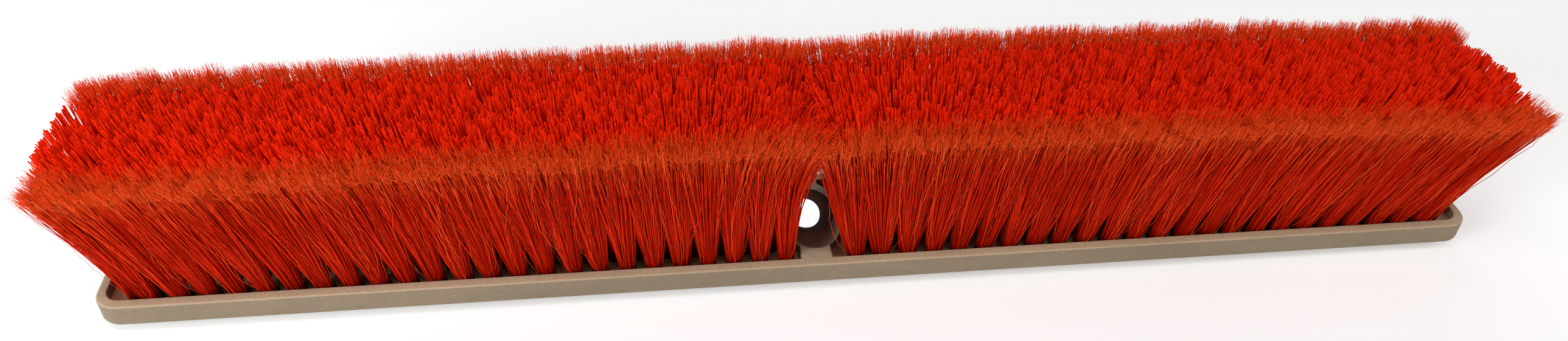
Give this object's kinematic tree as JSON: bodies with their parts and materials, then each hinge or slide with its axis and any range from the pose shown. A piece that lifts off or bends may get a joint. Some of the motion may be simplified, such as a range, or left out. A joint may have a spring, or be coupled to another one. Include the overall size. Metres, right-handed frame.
{
  "type": "push broom head",
  "caption": "Wide push broom head: a moulded block with a sloping tapered handle socket, set with rows of stiff sweeping tufts inside flagged fine-sweep border rows.",
  "frame": {"origin": "bottom centre of the whole head, on the flat land of the block's back", "axes": "+Z from the block's back towards the bristle tips, X along the head, Y across it; the handle socket's mouth on the bristle side faces -Y"},
  "size_m": [0.632, 0.0794, 0.0865],
  "materials": {
    "block_plastic": "fine moulded texture, satin",
    "border_bristle": "soft, flagged tips",
    "core_bristle": "satin monofilament",
    "anchor_wire": "drawn wire"
  },
  "bodies": {
    "root": {"broom_block": "block_plastic", "tufts_front_border_left_inner": "border_bristle", "tufts_front_border_left_outer": "border_bristle", "staple_anchor_front_border_left": "anchor_wire", "tufts_front_border_right_inner": "border_bristle", "tufts_front_border_right_outer": "border_bristle", "staple_anchor_front_border_right": "anchor_wire", "tufts_front_second_left_inner": "core_bristle", "tufts_front_second_left_outer": "core_bristle", "staple_anchor_front_second_left": "anchor_wire", "tufts_front_second_right_inner": "core_bristle", "tufts_front_second_right_outer": "core_bristle", "staple_anchor_front_second_right": "anchor_wire", "tufts_front_middle_left_inner": "core_bristle", "tufts_front_middle_left_outer": "core_bristle", "staple_anchor_front_middle_left": "anchor_wire", "tufts_front_middle_right_inner": "core_bristle", "tufts_front_middle_right_outer": "core_bristle", "staple_anchor_front_middle_right": "anchor_wire", "tufts_back_middle_left_inner": "core_bristle", "tufts_back_middle_left_outer": "core_bristle", "staple_anchor_back_middle_left": "anchor_wire", "tufts_back_middle_right_inner": "core_bristle", "tufts_back_middle_right_outer": "core_bristle", "staple_anchor_back_middle_right": "anchor_wire", "tufts_back_second_left_inner": "core_bristle", "tufts_back_second_left_outer": "core_bristle", "staple_anchor_back_second_left": "anchor_wire", "tufts_back_second_right_inner": "core_bristle", "tufts_back_second_right_outer": "core_bristle", "staple_anchor_back_second_right": "anchor_wire", "tufts_back_border_left_inner": "border_bristle", "tufts_back_border_left_outer": "border_bristle", "staple_anchor_back_border_left": "anchor_wire", "tufts_back_border_right_inner": "border_bristle", "tufts_back_border_right_outer": "border_bristle", "staple_anchor_back_border_right": "anchor_wire"}
  },
  "joints": []
}
